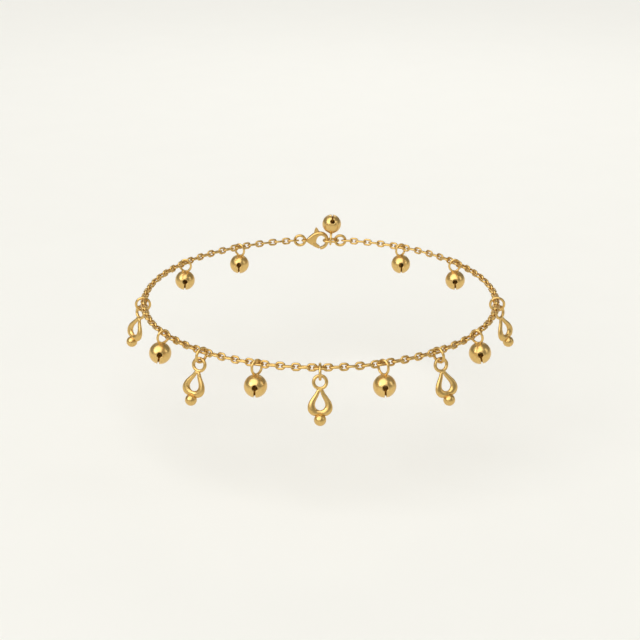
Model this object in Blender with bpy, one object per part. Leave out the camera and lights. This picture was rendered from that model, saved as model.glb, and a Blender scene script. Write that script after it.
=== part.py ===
"""Gold chain anklet with small round bells and open pear drops.

The anklet is a horizontal ring round the Z axis, with its centre at the origin. The front is at
-Y and the lobster clasp is at +Y. Angles go round from the front, positive towards +X. Lengths
are in metres.
"""
import math

import bmesh
import bpy
from mathutils import Euler, Matrix, Vector

# Chain
LOOP_RADIUS = 0.040
CHAIN_DIAMETER = 0.0006
CHAIN_POINTS = 79

# Clearances between pieces that hang in each other
HANG_GAP = 0.0001
CHAIN_END_GAP = 0.00025

# Jump rings of the drops
DROP_RING_RADIUS = 0.00185
DROP_RING_WIRE = 0.0006

# Drops
EYE_RADIUS = 0.00165
EYE_WIRE = 0.0007
FRAME_WIDTH = 0.0050
FRAME_LENGTH = 0.0056
FRAME_THICKNESS = 0.0011
FRAME_SOLDER_DEPTH = 0.00035
BALL_RADIUS = 0.00125
BALL_SOLDER_DEPTH = 0.00015

# Bells
BELL_RADIUS = 0.0024
BELL_WALL = 0.0003
BELL_HANG = 0.0047
BELL_LOOP_WIDTH = 0.0032
BELL_LOOP_WIRE = 0.00055
BELL_SOLDER_DEPTH = 0.00002
KEYHOLE_RADIUS = 0.0006
SLOT_WIDTH = 0.00035
SLOT_PAST_BOTTOM = 0.0006

# Clasp rings and the oval link between the clasp and the right ring
CLASP_RING_RADIUS = 0.00165
CLASP_RING_WIRE = 0.0007
LINK_LENGTH = 0.00425
LINK_WIDTH = 0.0028
LINK_WIRE = 0.0006

# Lobster clasp
CLASP_LENGTH = 0.0054
CLASP_HEIGHT = 0.00465
CLASP_THICKNESS = 0.0014
CLASP_EDGE = 0.0003
CLASP_EYE_RADIUS = 0.00096
CLASP_EYE_WIRE = 0.0005
CLASP_NECK_SOLDER = 0.00027
LEVER_THICKNESS = 0.0005
LEVER_SIDE_GAP = 0.0001
LEVER_SLOT_LENGTH = 0.00265
LEVER_SLOT_WALL = 0.0004
PIVOT_RADIUS = 0.0003
PIVOT_GAP = 0.0001
PIVOT_HEAD = 0.00005

# Bell that stands at the clasp
CLASP_BELL_SIDE_GAP = 0.00015
CLASP_BELL_HANG = 0.0046
CLASP_BELL_LOOP_WIDTH = 0.0027
CLASP_BELL_LEAN = 4.0
CLASP_BELL_TIP_BACK = 25.0
CLASP_BELL_FACING = -4.0
CLASP_BELL_HOLE_UP = -7.0

# Faces round each kind of piece
WIRE_SIDES = 6
RING_SIDES = 16
BALL_SIDES = 12
SHELL_SIDES = 16
HOLLOW_SIDES = 12
SECTION_SIDES = 8
EDGE_STEPS = 2
SHARP_ANGLE = 50.0

# Charms: angle round the chain, outward lean, sideways swing, turn of the bell's wire loop or the
# drop's frame from the chain's own direction, the way that a bell's keyhole faces, and how far its
# round hole lies above the bell's middle (degrees)
BELLS = (
    # name, angle, lean, swing, loop_turn, facing, hole_up
    ("bell_1", -18.6, 13, 0, -28, -2, 0),
    ("bell_2", 18.6, 13, 0, 28, 2, 0),
    ("bell_3", -56.4, 10, -7, 0, 0, 12),
    ("bell_4", 56.4, 10, 7, 0, 0, 12),
    ("bell_5", -124.7, 5, 0, 28, 5, 12),
    ("bell_6", 124.7, 5, 0, -28, -5, 12),
    ("bell_7", -149.5, 5, 0, 28, -1, 15),
    ("bell_8", 149.5, 5, 0, -28, 1, 15),
)
DROPS = (
    # number, angle, lean, swing, turn
    ("1", 0, 18, 0, 0),
    ("2", -37.4, 18, -4, 14),
    ("3", 37.4, 18, 4, -14),
    ("4", -85.4, 18, -3, 38),
    ("5", 85.4, 18, 3, -38),
)

# Right half of a drop's frame, from its top to the cleft between its lobes. Outs are shares of
# half its width, downs of its length, and thick of its thickness.
FRAME_SECTIONS = (
    # outer_out, outer_down, inner_out, inner_down, thick
    (0.00, 0.000, 0.00, 0.110, 0.60),
    (0.24, 0.040, 0.03, 0.150, 0.60),
    (0.43, 0.180, 0.11, 0.255, 0.65),
    (0.67, 0.327, 0.24, 0.370, 0.75),
    (0.88, 0.473, 0.36, 0.485, 0.85),
    (1.00, 0.636, 0.41, 0.595, 0.95),
    (0.98, 0.790, 0.37, 0.675, 1.00),
    (0.81, 0.915, 0.27, 0.737, 1.00),
    (0.54, 0.990, 0.16, 0.768, 0.95),
    (0.26, 0.987, 0.07, 0.781, 0.88),
    (0.00, 0.940, 0.00, 0.785, 0.80),
)

# Outline of the clasp's body as shares of its length, from the neck to the hook's far side, and of
# its height, from the lowest point
CLASP_OUTLINE = (
    # along, up
    (0.000, 0.640), (0.093, 0.745), (0.204, 0.855), (0.324, 0.945), (0.472, 1.000),
    (0.630, 1.000), (0.778, 0.946), (0.907, 0.822), (0.981, 0.650), (1.000, 0.466),
    (0.954, 0.284), (0.852, 0.122), (0.722, 0.026), (0.620, 0.000), (0.605, 0.133),
    (0.704, 0.187), (0.787, 0.295), (0.833, 0.456), (0.824, 0.617), (0.750, 0.746),
    (0.639, 0.811), (0.519, 0.789), (0.426, 0.682), (0.389, 0.520), (0.389, 0.380),
    (0.324, 0.262), (0.185, 0.241), (0.085, 0.310), (0.000, 0.385),
)

# Outline of the lever in the same shares: thumb nub, shank and gate
LEVER_OUTLINE = (
    # along, up
    (0.296, 0.962), (0.324, 1.101), (0.370, 1.219), (0.435, 1.230), (0.491, 1.123),
    (0.528, 1.026), (0.440, 0.870), (0.361, 0.692), (0.352, 0.499), (0.426, 0.327),
    (0.565, 0.176), (0.543, 0.043), (0.398, 0.090), (0.231, 0.198), (0.148, 0.305),
    (0.157, 0.434), (0.204, 0.628), (0.241, 0.822),
)
PIVOT_ALONG = 0.241
PIVOT_UP = 0.338
HOOK_INNER_ALONG = 0.833


def clasp_ring_x():
    """Half the way between the clasp's two rings, added up from the pieces between them."""
    ring_inner = CLASP_RING_RADIUS - CLASP_RING_WIRE
    eye_inner = CLASP_EYE_RADIUS - CLASP_EYE_WIRE
    neck = ring_inner - HANG_GAP + eye_inner + CLASP_EYE_RADIUS - CLASP_NECK_SOLDER
    link_left = neck + HOOK_INNER_ALONG * CLASP_LENGTH - HANG_GAP - LINK_WIRE
    link_right = link_left + LINK_LENGTH
    return (link_right - LINK_WIRE - HANG_GAP + ring_inner) / 2


CLASP_RING_X = clasp_ring_x()
CLASP_EYE_X = (-CLASP_RING_X + CLASP_RING_RADIUS - CLASP_RING_WIRE - HANG_GAP
               + CLASP_EYE_RADIUS - CLASP_EYE_WIRE)
CLASP_NECK_X = CLASP_EYE_X + CLASP_EYE_RADIUS - CLASP_NECK_SOLDER


def gold(name, colour, roughness):
    """Metal with one colour and roughness."""
    material = bpy.data.materials.new(name)
    material.use_nodes = True
    shader = material.node_tree.nodes["Principled BSDF"]
    shader.inputs["Base Color"].default_value = (*colour, 1.0)
    shader.inputs["Metallic"].default_value = 1.0
    shader.inputs["Roughness"].default_value = roughness
    return material


def add_object(name, data, material=None, parent=None):
    """Links an object with this data to the scene."""
    obj = bpy.data.objects.new(name, data)
    bpy.context.scene.collection.objects.link(obj)
    if material is not None:
        obj.data.materials.clear()
        obj.data.materials.append(material)
    obj.parent = parent
    return obj


def solid_mesh(name, bm):
    """Mesh of a closed bmesh whose faces point out, shaded smooth over its soft edges."""
    bmesh.ops.recalc_face_normals(bm, faces=bm.faces)
    mesh = bpy.data.meshes.new(name)
    bm.to_mesh(mesh)
    bm.free()
    mesh.shade_smooth()
    mesh.set_sharp_from_angle(angle=math.radians(SHARP_ANGLE))
    return mesh


def closed_tube(name, centre_line, cross_sections):
    """Closed ring of cross-sections, each a list of points, joined by quads."""
    bm = bmesh.new()
    rows = [[bm.verts.new(centre + offset) for offset in section]
            for centre, section in zip(centre_line, cross_sections)]
    for row, following in zip(rows, rows[1:] + rows[:1]):
        for i in range(len(row)):
            j = (i + 1) % len(row)
            bm.faces.new((row[i], row[j], following[j], following[i]))
    return solid_mesh(name, bm)


def wire_ring(name, half_width, half_height, wire, sides=RING_SIDES, straight=0.0):
    """Oval wire ring in the XZ plane. Its half sizes reach the outer side of the wire, and
    straight is the length of its level sides."""
    wire_radius = wire / 2
    centre_line = []
    sections = []
    for i in range(sides):
        angle = math.tau * (i + 0.5) / sides
        side = straight / 2 if math.cos(angle) > 0 else -straight / 2
        across = Vector((math.cos(angle), 0, math.sin(angle)))
        centre_line.append(Vector((
            (half_width - wire_radius - straight / 2) * across.x + side, 0,
            (half_height - wire_radius) * across.z)))
        outward = Vector((across.x / half_width, 0, across.z / half_height)).normalized()
        if straight:
            outward = across
        sections.append([
            wire_radius * (math.cos(turn) * outward + math.sin(turn) * Vector((0, 1, 0)))
            for turn in (math.tau * k / WIRE_SIDES for k in range(WIRE_SIDES))])
    return closed_tube(name, centre_line, sections)


def ball(name, radius, sides):
    """Round ball with its poles on Z."""
    bm = bmesh.new()
    bmesh.ops.create_uvsphere(bm, u_segments=sides, v_segments=sides // 2, radius=radius)
    return solid_mesh(name, bm)


def rod(name, radius, length, sides=BALL_SIDES):
    """Round rod along Y."""
    bm = bmesh.new()
    bmesh.ops.create_cone(bm, cap_ends=True, segments=sides, radius1=radius, radius2=radius,
                          depth=length, matrix=Matrix.Rotation(math.pi / 2, 4, "X"))
    return solid_mesh(name, bm)


def block(name, low, high):
    """Rectangular block between two corners."""
    bm = bmesh.new()
    size = Vector(high) - Vector(low)
    middle = (Vector(high) + Vector(low)) / 2
    bmesh.ops.create_cube(bm, matrix=Matrix.Translation(middle) @ Matrix.Diagonal((*size, 1)))
    return solid_mesh(name, bm)


def plate(name, outline, thickness):
    """Flat plate with this outline of (x, z) points, centred on the XZ plane."""
    bm = bmesh.new()
    rim = [bm.verts.new((x, -thickness / 2, z)) for x, z in outline]
    face = bm.faces.new(rim)
    grown = bmesh.ops.extrude_face_region(bm, geom=[face])
    moved = [item for item in grown["geom"] if isinstance(item, bmesh.types.BMVert)]
    bmesh.ops.translate(bm, vec=(0, thickness, 0), verts=moved)
    return solid_mesh(name, bm)


def evaluated_mesh(obj):
    """Mesh of an object with its modifiers applied."""
    bpy.context.view_layer.update()
    return bpy.data.meshes.new_from_object(
        obj.evaluated_get(bpy.context.evaluated_depsgraph_get()))


def combine(mesh, other, operation, place=Matrix()):
    """Boolean of two meshes, the second one placed by a matrix first."""
    base = add_object("base", mesh)
    tool_mesh = other.copy()
    tool_mesh.transform(place)
    tool = add_object("tool", tool_mesh)
    step = base.modifiers.new("step", "BOOLEAN")
    step.operation = operation
    step.object = tool
    result = evaluated_mesh(base)
    bpy.data.objects.remove(base)
    bpy.data.objects.remove(tool)
    return result


def softened(mesh, width):
    """Mesh with a round along its sharp edges."""
    base = add_object("base", mesh)
    bevel = base.modifiers.new("round", "BEVEL")
    bevel.width = width
    bevel.segments = EDGE_STEPS
    bevel.limit_method = "ANGLE"
    bevel.angle_limit = math.radians(SHARP_ANGLE)
    result = evaluated_mesh(base)
    bpy.data.objects.remove(base)
    return result


def chain_end_angle():
    """Angle at which the chain stops just short of a clasp ring."""
    across = CLASP_RING_X + CLASP_RING_RADIUS + CHAIN_END_GAP
    return math.pi - math.asin(across / LOOP_RADIUS)


def add_chain(material):
    """Chain as one round tube along its loop, from clasp ring to clasp ring."""
    curve = bpy.data.curves.new("chain", "CURVE")
    curve.dimensions = "3D"
    spline = curve.splines.new("POLY")
    spline.points.add(CHAIN_POINTS - 1)
    end = chain_end_angle()
    for i, point in enumerate(spline.points):
        angle = end * (2 * i / (CHAIN_POINTS - 1) - 1)
        point.co = (LOOP_RADIUS * math.sin(angle), -LOOP_RADIUS * math.cos(angle), 0, 1)
    curve.bevel_depth = CHAIN_DIAMETER / 2
    curve.bevel_resolution = 2
    curve.use_fill_caps = True
    return add_object("chain", curve, material)


def charm_seat(name, angle, lean, swing):
    """Empty on the chain's centre line. Its -Y points outward and its X runs along the chain."""
    seat = add_object(f"{name}_seat", None)
    turn = math.radians(angle)
    seat.location = (LOOP_RADIUS * math.sin(turn), -LOOP_RADIUS * math.cos(turn), 0)
    seat.rotation_euler = Euler((-math.radians(lean), -math.radians(swing), turn))
    return seat


def bell_mesh(name, held_radius, hang, loop_width, loop_turn, facing, hole_up):
    """Hollow bell that hangs from a round piece along X through the origin. Its wire loop goes
    round that piece and is soldered into the crown. Its keyhole is a round hole in front, with a
    slot from there down to just past the bottom."""
    centre = Matrix.Translation((0, 0, -hang))
    shell = combine(ball("shell", BELL_RADIUS, SHELL_SIDES),
                    ball("hollow", BELL_RADIUS - BELL_WALL, HOLLOW_SIDES), "DIFFERENCE")
    reach = 2 * BELL_RADIUS
    slot = block("slot", (-SLOT_WIDTH / 2, -reach, -reach),
                 (SLOT_WIDTH / 2, SLOT_PAST_BOTTOM, 0))
    hole = rod("hole", KEYHOLE_RADIUS, reach)
    hole.transform(Matrix.Translation((0, -reach / 2, 0)))
    aim = (Matrix.Rotation(math.radians(facing), 4, "Z")
           @ Matrix.Rotation(math.radians(-hole_up), 4, "X"))
    shell = combine(shell, slot, "DIFFERENCE", aim)
    shell = combine(shell, hole, "DIFFERENCE", aim)
    shell.transform(centre)
    top = held_radius + HANG_GAP + BELL_LOOP_WIRE
    bottom = -(hang - BELL_RADIUS) - BELL_LOOP_WIRE / 2 - BELL_SOLDER_DEPTH
    loop = wire_ring("loop", loop_width / 2, (top - bottom) / 2, BELL_LOOP_WIRE)
    place = (Matrix.Translation((0, 0, (top + bottom) / 2))
             @ Matrix.Rotation(math.radians(90 + loop_turn), 4, "Z"))
    bell = combine(shell, loop, "UNION", place)
    bell.name = name
    return bell


def add_bells(material):
    """Bells along the chain."""
    for name, angle, lean, swing, loop_turn, facing, hole_up in BELLS:
        seat = charm_seat(name, angle, lean, swing)
        mesh = bell_mesh(name, CHAIN_DIAMETER / 2, BELL_HANG, BELL_LOOP_WIDTH, loop_turn,
                         facing - angle, hole_up)
        add_object(name, mesh, material, seat)


def frame_mesh():
    """Pear frame of a drop in the XZ plane, from its top at the origin. Each cross-section is an
    oval between the outer and the inner outline."""
    half_width = FRAME_WIDTH / 2
    right = list(FRAME_SECTIONS)
    rows = [(1, row) for row in right] + [(-1, row) for row in right[-2:0:-1]]
    centre_line = []
    sections = []
    for side, (outer_out, outer_down, inner_out, inner_down, thick) in rows:
        outer = Vector((side * outer_out * half_width, 0, -outer_down * FRAME_LENGTH))
        inner = Vector((side * inner_out * half_width, 0, -inner_down * FRAME_LENGTH))
        half = (outer - inner) / 2
        depth = Vector((0, thick * FRAME_THICKNESS / 2, 0))
        centre_line.append((outer + inner) / 2)
        sections.append([
            math.cos(turn) * half + math.sin(turn) * depth
            for turn in (math.tau * k / SECTION_SIDES for k in range(SECTION_SIDES))])
    return closed_tube("frame", centre_line, sections)


def drop_mesh():
    """Drop with its eye's centre at the origin: eye, pear frame and ball soldered together."""
    eye = wire_ring("eye", EYE_RADIUS, EYE_RADIUS, EYE_WIRE)
    frame_top = -EYE_RADIUS + FRAME_SOLDER_DEPTH
    drop = combine(eye, frame_mesh(), "UNION", Matrix.Translation((0, 0, frame_top)))
    cleft = frame_top - FRAME_SECTIONS[-1][1] * FRAME_LENGTH
    ball_centre = cleft - BALL_RADIUS + BALL_SOLDER_DEPTH
    return combine(drop, ball("ball", BALL_RADIUS, BALL_SIDES), "UNION",
                   Matrix.Translation((0, 0, ball_centre)))


def add_drops(material):
    """Drops and the jump rings that carry them on the chain."""
    ring_top = CHAIN_DIAMETER / 2 + HANG_GAP + DROP_RING_WIRE
    ring_centre = ring_top - DROP_RING_RADIUS
    eye_top = ring_centre - DROP_RING_RADIUS + DROP_RING_WIRE + HANG_GAP
    eye_centre = eye_top + EYE_WIRE - EYE_RADIUS
    ring = wire_ring("drop_ring", DROP_RING_RADIUS, DROP_RING_RADIUS, DROP_RING_WIRE)
    ring.transform(Matrix.Rotation(math.pi / 2, 4, "Z"))
    drop = drop_mesh()
    for number, angle, lean, swing, turn in DROPS:
        seat = charm_seat(f"drop_{number}", angle, lean, swing)
        ring_object = add_object(f"drop_ring_{number}", ring, material, seat)
        ring_object.location = (0, 0, ring_centre)
        drop_object = add_object(f"drop_{number}", drop, material, seat)
        drop_object.location = (0, 0, eye_centre)
        drop_object.rotation_euler = (0, 0, math.radians(turn))


def clasp_point(along, up):
    """Place in the clasp's plane of shares of its length and height."""
    low = -CLASP_HEIGHT / 2
    return (CLASP_NECK_X + along * CLASP_LENGTH, low + up * CLASP_HEIGHT)


def clasp_body_mesh():
    """Hook-shaped body with an eye, a slot for the lever and a pivot pin across the slot."""
    outline = [clasp_point(along, up) for along, up in CLASP_OUTLINE]
    body = softened(plate("body", outline, CLASP_THICKNESS), CLASP_EDGE)
    slot_half = LEVER_THICKNESS / 2 + LEVER_SIDE_GAP
    slot_end = CLASP_NECK_X + LEVER_SLOT_WALL
    slot = block("slot", (slot_end, -slot_half, -CLASP_HEIGHT),
                 (slot_end + LEVER_SLOT_LENGTH, slot_half, CLASP_HEIGHT))
    body = combine(body, slot, "DIFFERENCE")
    pivot_x, pivot_z = clasp_point(PIVOT_ALONG, PIVOT_UP)
    pin = rod("pin", PIVOT_RADIUS, CLASP_THICKNESS + 2 * PIVOT_HEAD)
    body = combine(body, pin, "UNION", Matrix.Translation((pivot_x, 0, pivot_z)))
    eye = wire_ring("eye", CLASP_EYE_RADIUS, CLASP_EYE_RADIUS, CLASP_EYE_WIRE)
    place = (Matrix.Translation((CLASP_EYE_X, 0, 0))
             @ Matrix.Rotation(math.pi / 2, 4, "X"))
    return combine(body, eye, "UNION", place)


def lever_mesh():
    """Lever with its pivot at the origin: thumb nub, shank with a hole, and gate."""
    pivot_x, pivot_z = clasp_point(PIVOT_ALONG, PIVOT_UP)
    outline = [(x - pivot_x, z - pivot_z)
               for x, z in (clasp_point(along, up) for along, up in LEVER_OUTLINE)]
    lever = plate("lever", outline, LEVER_THICKNESS)
    hole = rod("hole", PIVOT_RADIUS + PIVOT_GAP, 2 * LEVER_THICKNESS)
    return combine(lever, hole, "DIFFERENCE")


def add_clasp(ring_material, body_material, bell_material):
    """Clasp with its two rings, its oval link and the bell that stands on the link."""
    clasp_y = math.sqrt(LOOP_RADIUS ** 2 - CLASP_RING_X ** 2)
    seat = add_object("clasp_seat", None)
    seat.location = (0, clasp_y, 0)
    ring = wire_ring("clasp_ring", CLASP_RING_RADIUS, CLASP_RING_RADIUS, CLASP_RING_WIRE)
    for name, side in (("clasp_ring_left", -1), ("clasp_ring_right", 1)):
        ring_object = add_object(name, ring, ring_material, seat)
        ring_object.location = (side * CLASP_RING_X, 0, 0)
    add_object("clasp_body", clasp_body_mesh(), body_material, seat)
    pivot_x, pivot_z = clasp_point(PIVOT_ALONG, PIVOT_UP)
    lever = add_object("clasp_lever", lever_mesh(), body_material, seat)
    lever.location = (pivot_x, 0, pivot_z)
    link_left = clasp_point(HOOK_INNER_ALONG, 0)[0] - HANG_GAP - LINK_WIRE
    link = wire_ring("clasp_link", LINK_LENGTH / 2, LINK_WIDTH / 2, LINK_WIRE,
                     straight=LINK_LENGTH - LINK_WIDTH)
    link_object = add_object("clasp_link", link, ring_material, seat)
    link_object.location = (link_left + LINK_LENGTH / 2, 0, 0)
    link_object.rotation_euler = (math.pi / 2, 0, 0)
    bell_seat = add_object("clasp_bell_seat", None, parent=seat)
    hook_far = clasp_point(1, 0)[0]
    bell_seat.location = (hook_far + CLASP_BELL_SIDE_GAP + BELL_LOOP_WIRE / 2,
                          -(LINK_WIDTH - LINK_WIRE) / 2, 0)
    bell_seat.rotation_euler = (math.radians(CLASP_BELL_TIP_BACK),
                                math.pi + math.radians(CLASP_BELL_LEAN), 0)
    bell = bell_mesh("clasp_bell", LINK_WIRE / 2, CLASP_BELL_HANG, CLASP_BELL_LOOP_WIDTH, 0,
                     CLASP_BELL_FACING, CLASP_BELL_HOLE_UP)
    add_object("clasp_bell", bell, bell_material, bell_seat)


def main():
    """Clears the scene and adds every piece with its gold."""
    for obj in list(bpy.data.objects):
        bpy.data.objects.remove(obj)
    chain_gold = gold("chain_gold", (0.68, 0.44, 0.14), 0.25)
    ring_gold = gold("ring_gold", (0.70, 0.46, 0.15), 0.20)
    bell_gold = gold("bell_gold", (0.76, 0.51, 0.18), 0.18)
    drop_gold = gold("drop_gold", (0.71, 0.47, 0.16), 0.16)
    clasp_gold = gold("clasp_gold", (0.69, 0.45, 0.15), 0.22)
    add_chain(chain_gold)
    add_bells(bell_gold)
    add_drops(drop_gold)
    add_clasp(ring_gold, clasp_gold, bell_gold)


main()
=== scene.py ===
"""Dresses the chain anklet: cable chain, jingle bells, pear drops, clasp, golds and a studio.

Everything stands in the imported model's frame: metres, Z up, the ring's centre at the origin, the
front at -Y and the clasp at +Y. Angles along the chain are in degrees from the front, positive
towards +X.
"""
import math

import bpy
import numpy as np
from mathutils import Matrix, Vector


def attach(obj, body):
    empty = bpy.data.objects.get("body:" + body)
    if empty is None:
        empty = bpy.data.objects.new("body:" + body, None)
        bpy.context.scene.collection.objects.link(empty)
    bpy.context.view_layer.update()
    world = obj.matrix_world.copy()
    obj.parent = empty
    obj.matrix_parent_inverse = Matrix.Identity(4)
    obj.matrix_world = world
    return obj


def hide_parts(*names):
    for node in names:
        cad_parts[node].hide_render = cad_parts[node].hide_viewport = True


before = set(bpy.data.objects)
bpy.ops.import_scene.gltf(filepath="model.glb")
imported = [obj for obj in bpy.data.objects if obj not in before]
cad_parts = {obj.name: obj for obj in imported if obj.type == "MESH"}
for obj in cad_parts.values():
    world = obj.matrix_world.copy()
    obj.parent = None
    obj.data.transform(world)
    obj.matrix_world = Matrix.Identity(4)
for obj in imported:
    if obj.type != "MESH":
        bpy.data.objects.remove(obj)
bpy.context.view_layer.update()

bl_info = {
    "name": "Chain Anklet with Bells and Drops",
    "version": (1, 0, 0),
    "blender": (4, 5, 0),
    "location": "3D View > Sidebar > Anklet",
    "description": "Builds a gold chain anklet with jingle bells, pear drops and a lobster clasp",
    "category": "Add Mesh",
}

# Where the charms hang, in degrees: name, angle, outward lean, sideways swing, turn of the bell's
# wire loop or the drop's frame from the chain's own direction, the way that a bell's keyhole
# faces, and how far its round hole lies above the bell's middle
BELLS = (
    ("bell_1", -18.6, 13, 0, -28, -2, 0),
    ("bell_2", 18.6, 13, 0, 28, 2, 0),
    ("bell_3", -56.4, 10, -7, 0, 0, 12),
    ("bell_4", 56.4, 10, 7, 0, 0, 12),
    ("bell_5", -124.7, 5, 0, 28, 5, 12),
    ("bell_6", 124.7, 5, 0, -28, -5, 12),
    ("bell_7", -149.5, 5, 0, 28, -1, 15),
    ("bell_8", 149.5, 5, 0, -28, 1, 15),
)
DROPS = (
    ("1", 0, 18, 0, 0),
    ("2", -37.4, 18, -4, 14),
    ("3", 37.4, 18, 4, -14),
    ("4", -85.4, 18, -3, 38),
    ("5", 85.4, 18, 3, -38),
)

# Chain: pairs of links on each side of the front, degrees from one pair to the next at the front,
# how much that grows with each pair, twist in degrees, random roll in radians, gap in metres, and
# points and sides of a link's wire
LINK_PAIRS = 35
LINK_TURN = 4.62
LINK_GROWTH = 0.0068
LINK_TWIST = 16.0
LINK_ROLL = 0.05
LINK_GAP = 0.00002
LINK_POINTS = 16
LINK_SIDES = 6

# Links that the charms hang round, counted in pairs from the front, and how far they sag
CHARM_LINKS = (0, 4, 8, 12, 18, 26, 31)
CHARM_SAG = 0.00006

# Right half of a drop's frame from its top to the cleft: outer out, outer down, inner out, inner
# down and thickness, as shares of half its width, its length and its full thickness
FRAME_SECTIONS = np.array((
    (0.00, 0.000, 0.00, 0.110, 0.60),
    (0.24, 0.040, 0.03, 0.150, 0.60),
    (0.43, 0.180, 0.11, 0.255, 0.65),
    (0.67, 0.327, 0.24, 0.370, 0.75),
    (0.88, 0.473, 0.36, 0.485, 0.85),
    (1.00, 0.636, 0.41, 0.595, 0.95),
    (0.98, 0.790, 0.37, 0.675, 1.00),
    (0.81, 0.915, 0.27, 0.737, 1.00),
    (0.54, 0.990, 0.16, 0.768, 0.95),
    (0.26, 0.987, 0.07, 0.781, 0.88),
    (0.00, 0.940, 0.00, 0.785, 0.80),
))

# Outer and inner edge of the clasp's body, both from the neck to the hook's tip, as shares of its
# length and height
CLASP_OUTER = np.array((
    (0.000, 0.640), (0.093, 0.745), (0.204, 0.855), (0.324, 0.945), (0.472, 1.000),
    (0.630, 1.000), (0.778, 0.946), (0.907, 0.822), (0.981, 0.650), (1.000, 0.466),
    (0.954, 0.284), (0.852, 0.122), (0.722, 0.026), (0.620, 0.000),
))
CLASP_INNER = np.array((
    (0.000, 0.385), (0.085, 0.310), (0.185, 0.241), (0.324, 0.262), (0.389, 0.380),
    (0.389, 0.520), (0.426, 0.682), (0.519, 0.789), (0.639, 0.811), (0.750, 0.746),
    (0.824, 0.617), (0.833, 0.456), (0.787, 0.295), (0.704, 0.187), (0.605, 0.133),
))

# Lever in the same shares: thumb nub, shank and gate
LEVER_OUTLINE = np.array((
    (0.296, 0.962), (0.324, 1.101), (0.370, 1.219), (0.435, 1.230), (0.491, 1.123),
    (0.528, 1.026), (0.440, 0.870), (0.361, 0.692), (0.352, 0.499), (0.426, 0.327),
    (0.565, 0.176), (0.543, 0.043), (0.398, 0.090), (0.231, 0.198), (0.148, 0.305),
    (0.157, 0.434), (0.204, 0.628), (0.241, 0.822),
))

# Lever's pivot and the hook's inner far side in the same shares, the power that squares off the
# body's section, and the length in metres of its rounded ends
PIVOT = np.array((0.241, 0.338))
HOOK_INNER_ALONG = 0.833
BODY_SQUARENESS = 0.55
BODY_END_REACH = 0.00022

# Lever: gap to its slot and to its pin, the slot's place and length, the round on the lever's edge,
# and the height of the pin's domed ends
LEVER_GAP = 0.0001
SLOT_FROM_NECK = 0.0004
SLOT_LENGTH = 0.00265
LEVER_ROUND = 0.00012
PIN_DOME = 0.00006

# Gap between pieces that hang in each other, and how deep soldered pieces lie in each other
HANG_GAP = 0.0001
NECK_SOLDER = 0.00027
FRAME_SOLDER = 0.00035
BALL_SOLDER = 0.00015
LOOP_SOLDER = 0.00002

# Beads of solder over the frame and over the ball of a drop: half sizes, and the first one's depth
EYE_BEAD = (0.00040, 0.00031, 0.00026)
BALL_BEAD = (0.00050, 0.00046, 0.00022)
EYE_BEAD_DEPTH = 0.00006

# Keyhole of a bell, in degrees on its sphere: half width of the round hole, how far below the
# front the hole runs into the slot, how far the slot runs past the bottom, and width of the band of
# points that follows the edge
KEYHOLE_SPAN = 14.48
HOLE_INTO_SLOT = 14.4
SLOT_PAST_BOTTOM = 14.5
KEYHOLE_BAND = 24.0

# Round a bell's crown, in degrees: how far the solder and its darkening spread, which is partly
# tarnish and partly painted shade where the loop meets the shell
SOLDER_SPREAD = 13
CROWN_DARK_SPREAD = 16

# Bell that stands at the clasp: lengths in metres, then angles in degrees
CLASP_BELL_HANG = 0.0046
CLASP_BELL_LOOP_WIDTH = 0.0027
CLASP_BELL_SIDE_GAP = 0.00015
CLASP_BELL_LEAN = 4
CLASP_BELL_TIP_BACK = 25
CLASP_BELL_FACING = -4
CLASP_BELL_HOLE_UP = -7

# Angles in degrees past which an edge of a cut piece and of the lever stays sharp
SHARP_CUT = 38
SHARP_LEVER = 50

# Golds: slot, the colour that it takes, polish (roughness) and scratches, whose depth in metres
# is the same for all
GOLDS = {
    "chain_gold": ("chain", 0.20, 0.5),
    "bell_gold": ("bells", 0.15, 0.6),
    "drop_gold": ("drops", 0.14, 0.6),
    "ring_gold": ("rings", 0.17, 0.5),
    "clasp_gold": ("clasp", 0.18, 0.7),
}
SCRATCH_DEPTH = 0.000012

# Floor: reach and level in metres
FLOOR_REACH = 8.0
FLOOR_LEVEL = -0.030

# Camera: place in metres, how far it looks down and turns in degrees, and its lens in millimetres
CAMERA_PLACE = (0.0, -0.28372, 0.10919)
CAMERA_DOWN = 22.087
CAMERA_TURN = 0.004
CAMERA_LENS = 74.76

# Daylight: strength of the window's light, its spread and tilt in degrees, and the room's colour
# and strength
WINDOW_STRENGTH = 2.5
WINDOW_SPREAD = 80
WINDOW_TILT = (28, -22)
ROOM_COLOUR = (1.0, 0.985, 0.96)
ROOM_STRENGTH = 0.22

# Soft boxes: name, place, width and height in metres, and radiance
LIGHTS = (
    ("softbox_left", (-0.36, -0.26, 0.26), (0.20, 0.22), 2.1),
    ("softbox_right", (0.42, -0.10, 0.20), (0.12, 0.25), 1.9),
    ("softbox_back", (0.05, 0.45, 0.30), (0.34, 0.10), 1.7),
    ("softbox_far", (0.0, 1.3, 0.75), (1.6, 0.5), 0.8),
)


def length(name, description, value):
    """Size in metres that a user can change."""
    return bpy.props.FloatProperty(name=name, description=description, default=value,
                                   min=0.0, precision=5, unit="LENGTH")


def colour(name, description, value):
    """Colour that a user can change."""
    return bpy.props.FloatVectorProperty(name=name, description=description, default=value,
                                         subtype="COLOR", size=3, min=0.0, max=1.0)


class AnkletChainSizes(bpy.types.PropertyGroup):
    """Sizes of the chain."""

    loop_radius: length("Loop radius", "Radius of the chain's loop round the ankle", 0.040)
    held: length("Held thickness", "Thickness that charms hang round", 0.0006)
    long_and_short: length("Long and short", "Flat links are longer by this, upright ones shorter",
                           0.00038)
    link_width: length("Link width", "Outer width of one link", 0.00178)
    charm_link_width: length("Charm link width", "Width of a link that holds a charm", 0.0016)
    link_wire: length("Link wire", "Thickness of a link's wire", 0.0005)


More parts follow.
